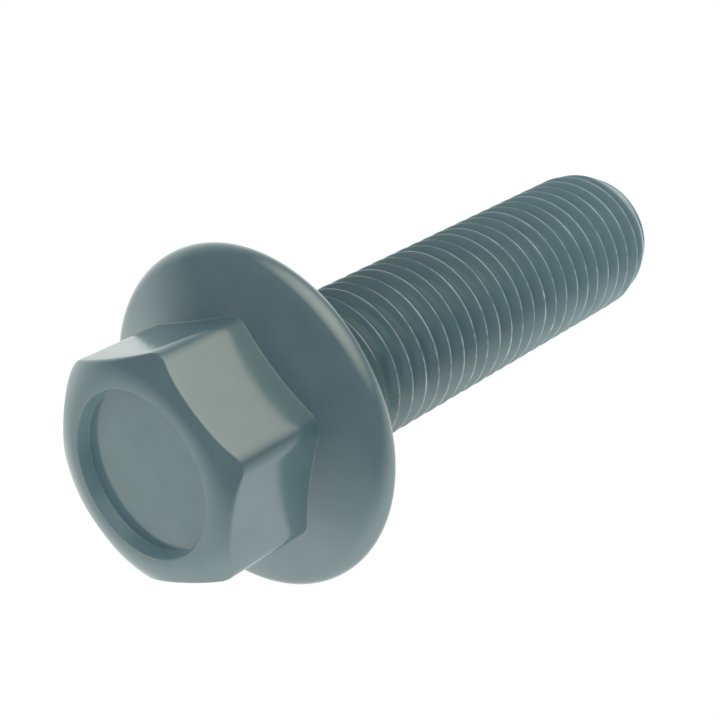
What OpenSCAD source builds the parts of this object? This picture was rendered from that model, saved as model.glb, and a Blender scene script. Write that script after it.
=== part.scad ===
// Hexagon flange bolt, fully threaded, with a dished head.
// The origin is the centre of the flange's bearing face; the thread runs up +Z and the head hangs below.

/* [Shank] */
// Major diameter of the thread, over its crests
thread_d = 9.85; // [9.5:0.05:12]
// Distance from one turn of the thread to the next
pitch = 1.25; // [1:0.05:1.5]
// Angle round the axis at which the thread starts
thread_start = 80; // [0:5:355]
// Length from the bearing face to the end of the tip
length = 35; // [20:1:60]
// Diameter of the plain neck between the bearing face and the thread
neck_d = 9; // [8.6:0.05:9.2]
// Length of the neck
neck_length = 3.3; // [2:0.1:5]
// Radius of the fillet between the bearing face and the neck
neck_r = 0.6; // [0.2:0.1:1]
// Diameter of the flat end face of the tip
tip_d = 8; // [6:0.1:8.2]
// Length over which the tip is rounded off
tip_length = 2.9; // [1.5:0.1:4]

/* [Flange] */
// Diameter of the flange
flange_d = 20.6; // [18:0.1:26]
// Thickness of the rounded rim
rim_thickness = 2.1; // [1.2:0.1:3]
// Slope of the flange's upper cone
flange_angle = 20; // [12:1:25]
// Radius of the fillet between the flange's cone and the wrench flats
foot_r = 0.5; // [0.2:0.1:1]

/* [Head] */
// Width across the wrench flats
across_flats = 12.9; // [11.5:0.1:15]
// Height of the head from the bearing face to its top
head_height = 9.6; // [8:0.1:12]
// Radius of the hexagon's corners
corner_r = 1.4; // [0.5:0.1:2]
// Radius of the arc that rounds the top of the head down over the corners
crown_r = 3.4; // [3:0.1:5]
// Diameter of the recess in the top of the head, at its mouth
recess_d = 9.8; // [7:0.1:10]
// Depth of the recess
recess_depth = 0.75; // [0.7:0.05:1.5]
// Slope of the recess wall away from upright
recess_draft = 8; // [3:1:20]
// Radius between the recess wall and its floor
recess_floor_r = 0.4; // [0.2:0.05:0.5]
// Radius of the rounded lip at the mouth of the recess
recess_lip_r = 0.2; // [0.1:0.05:0.3]
// Width of the flat ring between the recess and the rounding of the crown
land = 0.1; // [0.1:0.05:0.4]

/* [Hidden] */
$fn = 96;
arc_steps = 12;
helix_steps = 30;
// Turns by which the helix runs past each end of the thread before it is trimmed
helix_overrun = 2;
hexagon_sides = 6;
side_angle = 360 / hexagon_sides;
flank_angle = 30;
thread_depth_share = 0.6134;
crest_share = 1 / 8;
// Depth by which bodies that are joined reach into each other
seat = 0.02;
shank_r = thread_d / 2;
thread_depth = thread_depth_share * pitch;
root_r = shank_r - thread_depth;
crest_half = crest_share * pitch / 2;
// The ridge is drawn a little past its crest, which is then turned down to the major diameter
ridge_r = shank_r / cos(180 / helix_steps) + seat;
ridge = [
    [root_r, -crest_half - thread_depth * tan(flank_angle)],
    [ridge_r, (ridge_r - shank_r) * tan(flank_angle) - crest_half],
    [ridge_r, crest_half - (ridge_r - shank_r) * tan(flank_angle)],
    [root_r, crest_half + thread_depth * tan(flank_angle)]
];
thread_low = neck_length / 2;
helix_low = thread_low - helix_overrun * pitch;
turns = ceil((length - helix_low) / pitch) + helix_overrun;
rows = len(ridge) * turns;
shank_straight = length - tip_length;
tip_inset = shank_r - tip_d / 2;
tip_arc_r = (tip_length * tip_length + tip_inset * tip_inset) / (2 * tip_inset);
rim_r = rim_thickness / 2;
rim_centre = [flange_d / 2 - rim_r, -rim_r];
cone_normal = [sin(flange_angle), -cos(flange_angle)];
cone_edge = rim_centre + rim_r * cone_normal;
foot_x = across_flats / 2 - seat;
foot_rise = (cone_edge[0] - foot_x - foot_r) * tan(flange_angle) + foot_r / cos(flange_angle);
foot_centre = [foot_x + foot_r, cone_edge[1] - foot_rise];
crown_start = recess_d / 2 + recess_lip_r + land;
recess_floor = recess_depth - head_height;
recess_normal = [cos(recess_draft), sin(recess_draft)];

// Points along an arc in a profile, between two angles
function arc(centre, r, from, to) =
    [for (i = [0:arc_steps]) let (a = from + (to - from) * i / arc_steps) centre + r * [cos(a), sin(a)]];

// Point on the thread: a step round the axis, and a row counted up the ridge's edges
function helix_point(i, row) =
    let (edge = ridge[row % len(ridge)])
    let (turn = floor(row / len(ridge)) + i / helix_steps)
    let (a = thread_start + 360 * i / helix_steps)
    [edge[0] * cos(a), edge[0] * sin(a), helix_low + pitch * turn + edge[1]];

// Number of that point in the list of points
function helix_number(i, row) = i * rows + row;

// Two triangles between four points
function quad(a, b, c, d) = [[a, b, c], [a, c, d]];

// Distance of the recess wall from the axis at a height
function recess_wall(z) = recess_d / 2 - (z + head_height) * tan(recess_draft);

module rounded_hexagon(width, r) {
    inner = width / 2 - r;
    side = 2 * inner * tan(side_angle / 2);
    corner = inner / cos(side_angle / 2);
    circle(r = corner, $fn = hexagon_sides);
    for (turn = [0:side_angle:359]) {
        rotate(turn + side_angle / 2) translate([0, -side / 2]) square([width / 2, side]);
        rotate(turn) translate([corner, 0]) circle(r = r);
    }
}

module crown_profile() {
    translate([0, -head_height]) square([crown_start, head_height]);
    translate([0, crown_r - head_height]) square([crown_start + crown_r, head_height - crown_r]);
    translate([crown_start, crown_r - head_height]) circle(r = crown_r);
}

module recess_profile() {
    mouth = -2 * head_height;
    floor_z = recess_floor - recess_floor_r;
    floor_centre = [recess_wall(floor_z) - recess_floor_r / cos(recess_draft), floor_z];
    floor_edge = floor_centre + recess_floor_r * recess_normal;
    lip_z = recess_lip_r - head_height;
    lip_centre = [recess_wall(lip_z) + recess_lip_r / cos(recess_draft), lip_z];
    lip_edge = lip_centre - recess_lip_r * recess_normal;
    polygon([
        [0, mouth], [lip_edge[0], mouth], lip_edge,
        floor_edge, [floor_centre[0], recess_floor], [0, recess_floor]
    ]);
    translate(floor_centre) circle(r = recess_floor_r);
    difference() {
        polygon([[lip_edge[0], mouth], [lip_centre[0], mouth], lip_centre, lip_edge]);
        translate(lip_centre) circle(r = recess_lip_r);
    }
}

module wrench_head() {
    difference() {
        intersection() {
            translate([0, 0, -head_height]) linear_extrude(head_height - rim_r)
                rounded_hexagon(across_flats, corner_r);
            rotate_extrude() crown_profile();
        }
        rotate_extrude() recess_profile();
    }
}

module flange_and_neck() {
    rotate_extrude() polygon(concat(
        [[0, foot_centre[1]]],
        arc(foot_centre, foot_r, 180, 90 + flange_angle),
        arc(rim_centre, rim_r, flange_angle - 90, 90),
        arc([neck_d / 2 + neck_r, neck_r], neck_r, 270, 180),
        [[neck_d / 2, neck_length], [root_r - seat, neck_length + neck_d / 2 - root_r]],
        [[0, neck_length + pitch]]
    ));
}

// Blank that the thread is cut from: it widens at 45 degrees above the neck and is rounded at the tip
module thread_blank() {
    tip_angle = asin(tip_length / tip_arc_r);
    rotate_extrude() polygon(concat(
        [[0, thread_low], [neck_d / 2 - seat, thread_low], [neck_d / 2 - seat, neck_length]],
        [[shank_r, neck_length + shank_r - neck_d / 2]],
        arc([shank_r - tip_arc_r, shank_straight], tip_arc_r, 0, tip_angle),
        [[0, length]]
    ));
}

// Right-hand helix with a solid core, running past both ends of the thread
module helix() {
    last = helix_steps - 1;
    top = rows - 1;
    step_up = len(ridge);
    low_end = helix_steps * rows;
    high_end = low_end + 1;
    points = [for (i = [0:last]) for (row = [0:top]) helix_point(i, row)];
    ends = [[0, 0, helix_low - pitch], [0, 0, helix_low + (turns + 1) * pitch]];
    sides = [for (i = [0:last - 1]) for (row = [0:top - 1])
        each quad(helix_number(i, row), helix_number(i, row + 1),
            helix_number(i + 1, row + 1), helix_number(i + 1, row))];
    seam = [for (row = [0:top - step_up - 1])
        each quad(helix_number(last, row), helix_number(last, row + 1),
            helix_number(0, row + 1 + step_up), helix_number(0, row + step_up))];
    low_cap = concat(
        [for (i = [0:last - 1]) [helix_number(i, 0), helix_number(i + 1, 0), low_end]],
        [[helix_number(last, 0), helix_number(0, step_up), low_end]],
        [for (row = [0:step_up - 1]) [helix_number(0, row + 1), helix_number(0, row), low_end]]
    );
    high_cap = concat(
        [for (i = [0:last - 1]) [helix_number(i + 1, top), helix_number(i, top), high_end]],
        [[helix_number(0, top), helix_number(last, top - step_up), high_end]],
        [for (row = [top - step_up:top - 1]) [helix_number(last, row), helix_number(last, row + 1), high_end]]
    );
    faces = concat(sides, seam, low_cap, high_cap);
    polyhedron(points = concat(points, ends), faces = faces, convexity = turns);
}

module thread() {
    intersection() {
        helix();
        thread_blank();
    }
}

module bolt() {
    color("darkslategray") {
        wrench_head();
        flange_and_neck();
        thread();
    }
}

bolt();
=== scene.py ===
"""Looks of a hexagon flange bolt: a smooth body with a rolled thread and a worn satin coating, with light
painted onto the tip, the recess wall and the crest line.
"""
import math

import bmesh
import bpy
import numpy as np
from mathutils import Euler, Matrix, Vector


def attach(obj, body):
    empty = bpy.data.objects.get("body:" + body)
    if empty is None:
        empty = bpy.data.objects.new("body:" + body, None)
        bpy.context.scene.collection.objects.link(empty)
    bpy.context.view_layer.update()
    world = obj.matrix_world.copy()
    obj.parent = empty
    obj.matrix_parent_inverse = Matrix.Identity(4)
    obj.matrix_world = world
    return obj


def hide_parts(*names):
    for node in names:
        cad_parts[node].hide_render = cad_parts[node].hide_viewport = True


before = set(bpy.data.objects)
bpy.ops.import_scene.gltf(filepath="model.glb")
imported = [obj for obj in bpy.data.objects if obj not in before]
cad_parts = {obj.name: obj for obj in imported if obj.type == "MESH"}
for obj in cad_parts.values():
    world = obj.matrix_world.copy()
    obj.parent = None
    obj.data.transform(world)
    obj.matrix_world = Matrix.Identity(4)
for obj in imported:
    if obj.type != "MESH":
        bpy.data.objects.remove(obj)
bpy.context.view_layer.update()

MM = 0.001

# Thread sizes in millimetres, with narrower and softer crests than in the part's source
THREAD_R = 4.925
PITCH = 1.25
CREST_AT_ZERO = 0.13
FLANK_SLOPE = math.tan(math.radians(30))
THREAD_DEPTH = 0.6134 * PITCH
CREST_HALF = PITCH / 30
CREST_SOFTNESS = 0.04
ROOT_SOFTNESS = 2 * CREST_SOFTNESS
# Waves in the width of the crest, counted over one turn
CREST_WAVES = (2.3, 5.7)

# Sizes of the neck and the tip in millimetres
LENGTH = 35.0
NECK_R = 4.5
NECK_LENGTH = 3.3
NECK_FILLET = 0.6
NECK_SEAM = 0.03
TIP_R = 4.0
TIP_LENGTH = 2.9
TIP_EDGE = 0.25
TIP_PLAIN = 0.35

# Flange sizes in millimetres and degrees, just inside the solid
FLANGE_R = 10.29
RIM_R = 1.05
FLANGE_ANGLE = 20.0
FLANGE_SLOPE = math.radians(FLANGE_ANGLE)
FOOT_FILLET = 0.06

# Head sizes in millimetres and degrees
SIDES = 6
HALF_SIDE = math.pi / SIDES
FLAT_R = 6.45
HEAD_HEIGHT = 9.6
CORNER_R = 1.4
CORNER_CENTRE = (FLAT_R - CORNER_R) / math.cos(HALF_SIDE)
CROWN_START = 5.2
CROWN_R = 2.8
CROWN_EDGE = 0.3
RECESS_R = 4.9
RECESS_DEPTH = 0.75
RECESS_FLOOR = RECESS_DEPTH - HEAD_HEIGHT
RECESS_DRAFT = 12.0
RECESS_FILLET = 0.015
RECESS_LIP = 0.06

# Crest line painted lighter, partly wear and partly painted highlight, in millimetres and degrees: the
# line, where it starts and the side that it is on
WORN_AND_HIGHLIT_HALF = 0.08
WORN_AND_HIGHLIT_FROM = 5.5
WORN_AND_HIGHLIT_SIDE = 40.0
# Painted light: how fast the coating is painted lighter along the shank towards the tip, and how much
# lighter the wall of the recess is painted
PAINTED_TIP_LIGHT_POWER = 1.5
PAINTED_RECESS_LIGHT = 0.8

# Steps of the mesh
CORNER_STEPS = 5
SIDE_STEPS = 16
ARC_STEPS = 8
CROWN_STEPS = 12
FLAT_STEPS = 10
FLANGE_STEPS = 6
WALL_STEPS = 4
TIP_STEPS = 5
# Rows of the thread as shares of half a pitch, and rings of the round faces as shares of their radius
PROFILE_SHARES = (0, 0.06, 0.125, 0.2, 0.4, 0.6, 0.76, 0.84, 0.93)
RECESS_RINGS = (0.2, 0.4, 0.6, 0.8, 0.95)
TIP_RINGS = (0.8, 0.5, 0.2)
# Weight that makes the large faces set the shading of their edges
LARGE_FACES = 100

# Colours of the coating, and of the tint in its gloss
DARK_COAT = (0.073, 0.134, 0.160)
LIGHT_COAT = (0.089, 0.152, 0.176)
# Painted light: the lighter coat painted towards the tip and on the recess wall
PAINTED_LIGHT_COAT = (0.150, 0.256, 0.298)
# Crest line colour: partly wear, partly painted highlight
WORN_AND_HIGHLIT_COAT = (0.42, 0.55, 0.53)
BARE_STEEL = (0.6, 0.66, 0.62)
GLOSS_TINT = (0.88, 1.0, 0.90)
GLOSS_IOR = 2.8
ROUGHNESS = (0.12, 0.18)
GRAIN_STRENGTH = 0.15
GRAIN_HEIGHT = 0.02
# Scale and detail of the noise in the coating
CLOUDS = (350, 3)
WEAR_AND_HIGHLIGHT_NOISE = (1400, 2)
CHIPS = (800, 1)
SHEEN = (900, 4)
GRAIN = (2500, 4)

# Camera that looks at the head from the photograph's side, in millimetres and degrees
EYE = (70.314, -20.724, -61.049)
EYE_TURN = (153.711, -39.782, 21.187)
LENS = 83.402
SENSOR = 36.0

# Floor sizes in millimetres, and its colour
FLOOR_SIZE = 4000
FLOOR_GAP = 0.02
PAPER = (0.97, 0.97, 0.97)

# What the gloss mirrors: the way to it from the bolt, the cosines over which it grows, and its light there
WHITE = (1, 1, 1)
BRIGHT_SIDE = (-0.55, 0.74, 0.39)
BRIGHT_SPREAD = (-0.1, 0.6)
BRIGHT_LIGHT = (0.135, 0.78)
WALL_SIDE = (-0.85, -0.15, 0.5)
WALL_SPREAD = (0.46, 1)
WALL_LIGHT = (0, 0.55)
LAMP_SIDE = (0.62, -0.72, 0.32)
LAMP_SPREAD = (0.62, 1)
LAMP_LIGHT = (0, 1.04)
LAMP_COLOUR = (1, 0.91, 0.80)


def arc(centre, radius, start, end, steps=ARC_STEPS):
    """Points of an arc in the plane of radius and height, between two angles in degrees."""
    angles = np.radians(np.linspace(start, end, steps + 1))
    return [(centre[0] + radius * math.cos(a), centre[1] + radius * math.sin(a)) for a in angles]


def between(a, b, steps):
    """Points strictly between two others."""
    return [tuple(np.array(a) + (np.array(b) - np.array(a)) * i / steps) for i in range(1, steps)]


def soft_floor(x, softness):
    """The larger of x and zero, with the corner rounded."""
    return (x + np.sqrt(x * x + softness * softness)) / 2


def column_angles():
    """Angles of the mesh's columns, close together round each corner of the hexagon."""
    bends = np.linspace(-HALF_SIDE, HALF_SIDE, 2 * CORNER_STEPS + 1)
    corner = np.arctan2(CORNER_R * np.sin(bends), CORNER_CENTRE + CORNER_R * np.cos(bends))
    reach = math.tan(HALF_SIDE - corner[-1])
    side = HALF_SIDE - np.arctan(np.linspace(reach, -reach, SIDE_STEPS + 1)[1:-1])
    sector = np.concatenate([corner, side])
    turns = np.concatenate([sector + 2 * HALF_SIDE * k for k in range(SIDES)])
    return np.sort(np.mod(turns, 2 * math.pi))


def hexagon_radius(angle):
    """Distance from the axis to the rounded hexagon at an angle."""
    off = abs((angle + HALF_SIDE) % (2 * HALF_SIDE) - HALF_SIDE)
    tangent = math.atan2(CORNER_R * math.sin(HALF_SIDE), CORNER_CENTRE + CORNER_R * math.cos(HALF_SIDE))
    if off < tangent:
        return CORNER_CENTRE * math.cos(off) + math.sqrt(CORNER_R**2 - (CORNER_CENTRE * math.sin(off)) ** 2)
    return FLAT_R / math.cos(HALF_SIDE - off)


def recess_wall(z):
    """Distance of the recess wall from the axis at a height."""
    return RECESS_R - (z + HEAD_HEIGHT) * math.tan(math.radians(RECESS_DRAFT))


def recess_points():
    """Profile of the recess, from near the axis out to the flat ring on top of the head."""
    slant = math.cos(math.radians(RECESS_DRAFT))
    fillet_z = RECESS_FLOOR - RECESS_FILLET
    inner = (recess_wall(fillet_z) - RECESS_FILLET / slant, fillet_z)
    lip_z = RECESS_LIP - HEAD_HEIGHT
    lip = (recess_wall(lip_z) + RECESS_LIP / slant, lip_z)
    rings = [(inner[0] * share, RECESS_FLOOR) for share in RECESS_RINGS]
    fillet = arc(inner, RECESS_FILLET, 90, RECESS_DRAFT)
    edge = arc(lip, RECESS_LIP, 180 + RECESS_DRAFT, 270)
    return rings + fillet + between(fillet[-1], edge[0], WALL_STEPS) + edge


def side_points(flat):
    """Profile of the crown and the side of the head, where the hexagon is this far from the axis."""
    centre = np.array((CROWN_START, CROWN_R - HEAD_HEIGHT))
    drop = math.sqrt((CROWN_R - CROWN_EDGE) ** 2 - (flat - CROWN_EDGE - CROWN_START) ** 2)
    edge = (flat - CROWN_EDGE, centre[1] - drop)
    meet = math.degrees(math.atan2(edge[1] - centre[1], edge[0] - centre[0]))
    crown = arc(centre, CROWN_R, -90, meet, CROWN_STEPS)
    corner = arc(edge, CROWN_EDGE, meet, 0)
    foot_x = flat + FOOT_FILLET
    foot = (foot_x, cone_height(foot_x) - FOOT_FILLET / math.cos(FLANGE_SLOPE))
    foot_arc = arc(foot, FOOT_FILLET, 180, 90 + FLANGE_ANGLE)
    return crown + corner[1:] + between(corner[-1], foot_arc[0], FLAT_STEPS) + foot_arc


def cone_height(x):
    """Height of the flange's cone at a distance from the axis."""
    edge_x = FLANGE_R - RIM_R + RIM_R * math.sin(FLANGE_SLOPE)
    edge_z = -RIM_R - RIM_R * math.cos(FLANGE_SLOPE)
    return edge_z - (edge_x - x) * math.tan(FLANGE_SLOPE)


def flange_points(start):
    """Profile from the foot of the head over the flange to the top of the neck."""
    rim = arc((FLANGE_R - RIM_R, -RIM_R), RIM_R, FLANGE_ANGLE - 90, 90, 2 * ARC_STEPS)
    neck = arc((NECK_R + NECK_FILLET, NECK_FILLET), NECK_FILLET, 270, 180)
    top = [(NECK_R, NECK_LENGTH - NECK_SEAM), (NECK_R, NECK_LENGTH)]
    cone = between(start, rim[0], FLANGE_STEPS)
    bearing_face = between(rim[-1], neck[0], FLANGE_STEPS)
    return cone + rim + bearing_face + neck + between(neck[-1], top[0], WALL_STEPS) + top


def tip_radius(z):
    """Radius over the crests near the tip, which is rounded off over its last stretch."""
    inset = THREAD_R - TIP_R
    bend = (TIP_LENGTH**2 + inset**2) / (2 * inset)
    past = np.clip(z - LENGTH + TIP_LENGTH, 0, TIP_LENGTH)
    return THREAD_R - bend + np.sqrt(bend**2 - past**2)


def tip_points(low):
    """Profile of the plain end of the tip, from where the grooves stop to near the axis."""
    heights = np.linspace(low, LENGTH - TIP_EDGE, TIP_STEPS + 1)
    side = [(float(tip_radius(z)), float(z)) for z in heights]
    edge = arc((side[-1][0] - TIP_EDGE, LENGTH - TIP_EDGE), TIP_EDGE, 0, 90)
    face = [(edge[-1][0] * share, LENGTH) for share in TIP_RINGS]
    return side + edge[1:] + face


def crest_share(turns_up):
    """How wide the crest's flat is along the helix, where rolling has left it uneven."""
    waves = [math.sin(2 * math.pi * wave * turns_up) for wave in CREST_WAVES]
    return 1 + sum(waves) / len(waves)


def thread_radius(z, offset, crest_half):
    """Radius of the threaded shank at a height and at an axial distance from the nearest crest."""
    down = soft_floor((np.abs(offset) - crest_half) / FLANK_SLOPE, CREST_SOFTNESS)
    ridge = THREAD_R - THREAD_DEPTH + soft_floor(THREAD_DEPTH - down, ROOT_SOFTNESS)
    blank = np.minimum(NECK_R + z - NECK_LENGTH, tip_radius(z))
    core = NECK_R - (z - NECK_LENGTH)
    trimmed = ridge - soft_floor(ridge - blank, CREST_SOFTNESS)
    return np.maximum(trimmed, core)


def profile_offsets():
    """Axial distances from a crest at which the thread is sampled, over one pitch."""
    half = [share * PITCH / 2 for share in PROFILE_SHARES]
    return [-PITCH / 2] + [-x for x in reversed(half[1:])] + half


def rubbed_and_lit(angle):
    """How much the crest line is painted lighter round the axis, as wear and painted highlight, from all on
    one side to nothing opposite it.
    """
    return (0.5 + 0.5 * math.cos(angle - math.radians(WORN_AND_HIGHLIT_SIDE))) ** 2


def painted_light(radius, z):
    """How much light is painted into the coating: it is painted lighter towards the tip, and on the wall of
    the recess.
    """
    # Painted light: the coating is painted lighter towards the tip
    if z > NECK_LENGTH:
        return ((z - NECK_LENGTH) / (LENGTH - NECK_LENGTH)) ** PAINTED_TIP_LIGHT_POWER
    # Painted light: the wall of the recess is painted lighter
    inside = radius < RECESS_R and -HEAD_HEIGHT < z < RECESS_FLOOR
    return PAINTED_RECESS_LIGHT if inside else 0.0


class Skin:
    """Collects the points and faces of one closed mesh."""

    def __init__(self):
        self.points = []
        self.crests = []
        self.painted_lights = []
        self.faces = []

    def point(self, radius, angle, z, crest=0.0):
        """Adds a point, with its share of the crest line (wear and painted highlight) and of painted light,
        and gives its number.
        """
        self.points.append((radius * math.cos(angle) * MM, radius * math.sin(angle) * MM, z * MM))
        self.crests.append(crest)
        self.painted_lights.append(painted_light(radius, z))
        return len(self.points) - 1

    def face(self, *corners):
        """Adds a face, unless so many of its corners are one point that nothing is left of it."""
        kept = [c for i, c in enumerate(corners) if c != corners[i - 1]]
        if len(set(kept)) > 2:
            self.faces.append(kept)

    def strip(self, left, right, shift=0):
        """Joins two columns of points, with the right one shifted by some rows."""
        for i in range(len(left) - 1 - shift):
            self.face(left[i], right[i + shift], right[i + shift + 1], left[i + 1])

    def strips(self, columns):
        """Joins columns of points side by side, round to the first one again."""
        for left, right in zip(columns, columns[1:] + columns[:1]):
            self.strip(left, right)

    def cap(self, ring, z):
        """Closes a ring with a fan from a point on the axis."""
        pole = self.point(0, 0, z)
        for a, b in zip(ring, ring[1:] + ring[:1]):
            self.face(pole, b, a)


def head_columns(skin, angles):
    """Points of the recess, the head, the flange and the neck."""
    inner = recess_points()
    columns = []
    for angle in angles:
        side = side_points(hexagon_radius(angle))
        profile = inner + side + flange_points(side[-1])
        columns.append([skin.point(r, angle, z) for r, z in profile])
    return columns


def add_thread(skin, angles, low, high, low_z, high_z):
    """Rows that follow the helix, held between the ring below the thread and the ring above it."""
    offsets = np.array(profile_offsets())
    turns = math.ceil((high_z - CREST_AT_ZERO) / PITCH) + 1
    columns = []
    for j, angle in enumerate(angles):
        column = []
        for turn in range(turns):
            turns_up = turn + angle / (2 * math.pi)
            heights = CREST_AT_ZERO + turns_up * PITCH + offsets
            full = np.clip((heights - WORN_AND_HIGHLIT_FROM) / PITCH, 0, 1)
            radii = thread_radius(heights, offsets, full * crest_share(turns_up) * CREST_HALF)
            # Crest line painted lighter: partly wear, partly painted highlight
            worn_and_highlit = full * rubbed_and_lit(angle) * np.clip(1 - np.abs(offsets) / WORN_AND_HIGHLIT_HALF, 0, 1)
            for z, r, wear_and_highlight in zip(heights, radii, worn_and_highlit):
                if z <= low_z:
                    column.append(low[j])
                elif z >= high_z:
                    column.append(high[j])
                else:
                    column.append(skin.point(r, angle, z, wear_and_highlight))
        columns.append(column)
    for left, right in zip(columns, columns[1:]):
        skin.strip(left, right)
    skin.strip(columns[-1], columns[0], len(offsets))


def bolt_skin():
    """The whole bolt as one closed skin."""
    skin = Skin()
    angles = column_angles()
    groove_end = LENGTH - TIP_PLAIN
    head = head_columns(skin, angles)
    tip = [[skin.point(r, angle, z) for r, z in tip_points(groove_end)] for angle in angles]
    skin.cap([c[0] for c in head], RECESS_FLOOR)
    skin.strips(head)
    low = [c[-1] for c in head]
    high = [c[0] for c in tip]
    add_thread(skin, angles, low, high, NECK_LENGTH, groove_end)
    skin.strips(tip)
    skin.cap([c[-1] for c in reversed(tip)], LENGTH)
    return skin


def bolt_mesh():
    """Smooth mesh of the bolt, which keeps each point's share of the crest line (wear and painted
    highlight) and of painted light.
    """
    skin = bolt_skin()
    mesh = bpy.data.meshes.new("bolt_body")
    mesh.from_pydata(skin.points, [], skin.faces)
    for name, values in (("crest", skin.crests), ("painted_light", skin.painted_lights)):
        mesh.attributes.new(name, "FLOAT", "POINT").data.foreach_set("value", values)
    work = bmesh.new()
    work.from_mesh(mesh)
    bmesh.ops.recalc_face_normals(work, faces=work.faces)
    for f in work.faces:
        f.smooth = True
    work.to_mesh(mesh)
    work.free()
    return mesh


def map_range(tree, value, span, levels):
    """A node's value, carried from one span to another."""
    node = tree.nodes.new("ShaderNodeMapRange")
    tree.links.new(value, node.inputs["Value"])
    for name, number in zip(("From Min", "From Max", "To Min", "To Max"), (*span, *levels)):
        node.inputs[name].default_value = number
    return node.outputs["Result"]


def noise(tree, scale, detail):
    """Noise that stays with the object."""
    place = tree.nodes.new("ShaderNodeTexCoord")
    node = tree.nodes.new("ShaderNodeTexNoise")
    node.inputs["Scale"].default_value = scale
    node.inputs["Detail"].default_value = detail
    tree.links.new(place.outputs["Object"], node.inputs["Vector"])
    return node.outputs["Fac"]


def attribute(tree, name):
    """A value that the mesh keeps at its points."""
    node = tree.nodes.new("ShaderNodeAttribute")
    node.attribute_name = name
    return node.outputs["Fac"]


def multiply(tree, a, b):
    """Product of two nodes' values."""
    node = tree.nodes.new("ShaderNodeMath")
    node.operation = "MULTIPLY"
    tree.links.new(a, node.inputs[0])
    tree.links.new(b, node.inputs[1])
    return node.outputs["Value"]


def mix(tree, factor, a, b):
    """Blend of two colours, each of which is a plain colour or comes from a node."""
    node = tree.nodes.new("ShaderNodeMix")
    node.data_type = "RGBA"
    tree.links.new(factor, node.inputs["Factor"])
    for socket, colour in ((node.inputs["A"], a), (node.inputs["B"], b)):
        if isinstance(colour, tuple):
            socket.default_value = (*colour, 1)
        else:
            tree.links.new(colour, socket)
    return node.outputs["Result"]


def choose(tree, factor, a, b):
    """One of two shaders, by a factor that is 0 or 1."""
    node = tree.nodes.new("ShaderNodeMixShader")
    tree.links.new(factor, node.inputs["Fac"])
    tree.links.new(a, node.inputs[1])
    tree.links.new(b, node.inputs[2])
    return node.outputs["Shader"]


def coating():
    """Satin blue-green grey coating, with light painted in towards the tip and on the recess wall, a crest
    line that is partly wear and partly painted highlight, and chips along the crests.
    """
    material = bpy.data.materials.new("satin_coating")
    material.use_nodes = True
    tree = material.node_tree
    shader = tree.nodes["Principled BSDF"]
    crest = attribute(tree, "crest")
    clouds = map_range(tree, noise(tree, *CLOUDS), (0.35, 0.65), (0, 1))
    # Crest line: partly wear, partly painted highlight
    worn_and_highlit = multiply(tree, crest, map_range(tree, noise(tree, *WEAR_AND_HIGHLIGHT_NOISE), (0.40, 0.60), (0.1, 0.9)))
    chipped = multiply(tree, crest, map_range(tree, noise(tree, *CHIPS), (0.66, 0.72), (0, 1)))
    colour = mix(tree, clouds, DARK_COAT, LIGHT_COAT)
    # Painted light: lighter towards the tip and on the recess wall
    colour = mix(tree, attribute(tree, "painted_light"), colour, PAINTED_LIGHT_COAT)
    colour = mix(tree, worn_and_highlit, colour, WORN_AND_HIGHLIT_COAT)
    colour = mix(tree, chipped, colour, BARE_STEEL)
    roughness = map_range(tree, noise(tree, *SHEEN), (0.3, 0.7), ROUGHNESS)
    bump = tree.nodes.new("ShaderNodeBump")
    bump.inputs["Strength"].default_value = GRAIN_STRENGTH
    bump.inputs["Distance"].default_value = GRAIN_HEIGHT * MM
    tree.links.new(noise(tree, *GRAIN), bump.inputs["Height"])
    tree.links.new(colour, shader.inputs["Base Color"])
    tree.links.new(roughness, shader.inputs["Roughness"])
    tree.links.new(bump.outputs["Normal"], shader.inputs["Normal"])
    shader.inputs["IOR"].default_value = GLOSS_IOR
    shader.inputs["Specular Tint"].default_value = (*GLOSS_TINT, 1)
    return material


def add_bolt():
    """The bolt, which stands for the solid of the same name."""
    body = bpy.data.objects.new("bolt_body", bolt_mesh())
    bpy.context.scene.collection.objects.link(body)
    body.data.materials.append(coating())
    flats = body.modifiers.new("flat_normals", "WEIGHTED_NORMAL")
    flats.weight = LARGE_FACES
    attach(body, "root")
    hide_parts("bolt")


def floor_material():
    """White paper that is see-through from behind, so the camera can look up through it."""
    material = bpy.data.materials.new("white_floor")
    material.use_nodes = True
    tree = material.node_tree
    tree.nodes.clear()
    paper = tree.nodes.new("ShaderNodeBsdfDiffuse")
    paper.inputs["Color"].default_value = (*PAPER, 1)
    clear = tree.nodes.new("ShaderNodeBsdfTransparent")
    side = tree.nodes.new("ShaderNodeNewGeometry")
    out = tree.nodes.new("ShaderNodeOutputMaterial")
    surface = choose(tree, side.outputs["Backfacing"], paper.outputs["BSDF"], clear.outputs["BSDF"])
    tree.links.new(surface, out.inputs["Surface"])
    return material


def add_floor():
    """Floor under the head. Only the camera sees it, so it doesn't mirror in the bolt."""
    height = -(HEAD_HEIGHT + FLOOR_GAP) * MM
    bpy.ops.mesh.primitive_plane_add(size=FLOOR_SIZE * MM, location=(0, 0, height))
    floor = bpy.context.object
    floor.name = "floor"
    floor.data.materials.append(floor_material())
    floor.visible_diffuse = False
    floor.visible_glossy = False
    floor.visible_transmission = False
    floor.visible_shadow = False


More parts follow.
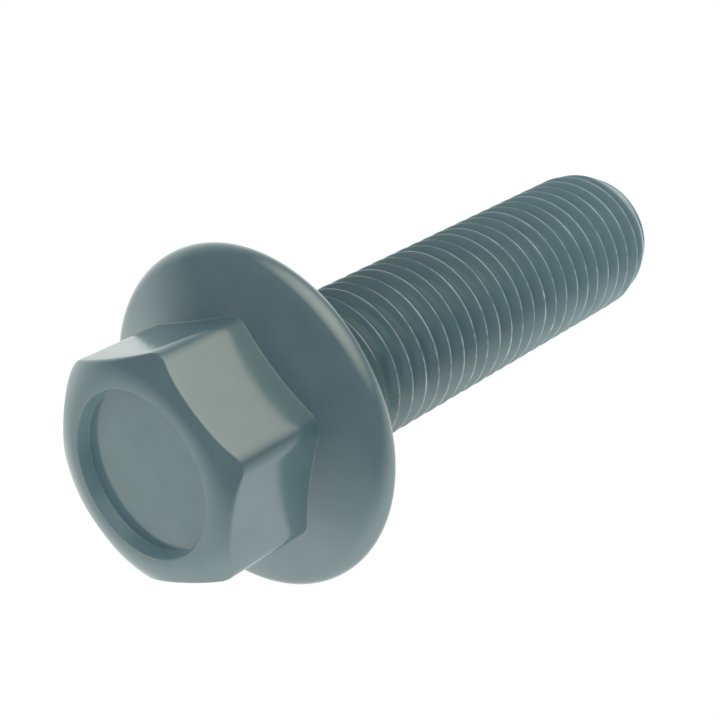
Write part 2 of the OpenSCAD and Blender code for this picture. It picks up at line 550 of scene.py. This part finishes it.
def towards(tree, side, spread, light, colour):
    """Light from the surroundings that grows towards one side."""
    place = tree.nodes.new("ShaderNodeTexCoord")
    dot = tree.nodes.new("ShaderNodeVectorMath")
    dot.operation = "DOT_PRODUCT"
    dot.inputs[1].default_value = Vector(side).normalized()
    tree.links.new(place.outputs["Generated"], dot.inputs[0])
    background = tree.nodes.new("ShaderNodeBackground")
    background.inputs["Color"].default_value = (*colour, 1)
    tree.links.new(map_range(tree, dot.outputs["Value"], spread, light), background.inputs["Strength"])
    return background.outputs["Background"]


def both(tree, a, b):
    """Sum of two lights."""
    node = tree.nodes.new("ShaderNodeAddShader")
    tree.links.new(a, node.inputs[0])
    tree.links.new(b, node.inputs[1])
    return node.outputs["Shader"]


def add_surroundings():
    """Plain white light, in which gloss mirrors a bright side, a wall, a warm lamp and a dim rest."""
    world = bpy.data.worlds.new("studio")
    bpy.context.scene.world = world
    world.use_nodes = True
    world.cycles.sampling_method = "NONE"
    tree = world.node_tree
    tree.nodes.clear()
    bright = towards(tree, BRIGHT_SIDE, BRIGHT_SPREAD, BRIGHT_LIGHT, WHITE)
    wall = towards(tree, WALL_SIDE, WALL_SPREAD, WALL_LIGHT, WHITE)
    lamp = towards(tree, LAMP_SIDE, LAMP_SPREAD, LAMP_LIGHT, LAMP_COLOUR)
    mirrored = both(tree, both(tree, bright, wall), lamp)
    plain = tree.nodes.new("ShaderNodeBackground")
    plain.inputs["Color"].default_value = (*WHITE, 1)
    path = tree.nodes.new("ShaderNodeLightPath")
    out = tree.nodes.new("ShaderNodeOutputWorld")
    light = choose(tree, path.outputs["Is Glossy Ray"], plain.outputs["Background"], mirrored)
    tree.links.new(light, out.inputs["Surface"])


def add_camera():
    """Camera on the photograph's side of the bolt."""
    data = bpy.data.cameras.new("camera")
    data.lens = LENS
    data.sensor_width = SENSOR
    data.clip_start = MM
    camera = bpy.data.objects.new("camera", data)
    camera.location = Vector(EYE) * MM
    camera.rotation_euler = Euler([math.radians(a) for a in EYE_TURN])
    bpy.context.scene.collection.objects.link(camera)
    bpy.context.scene.camera = camera


bpy.context.scene.view_settings.view_transform = "Standard"
add_camera()
add_bolt()
add_floor()
add_surroundings()
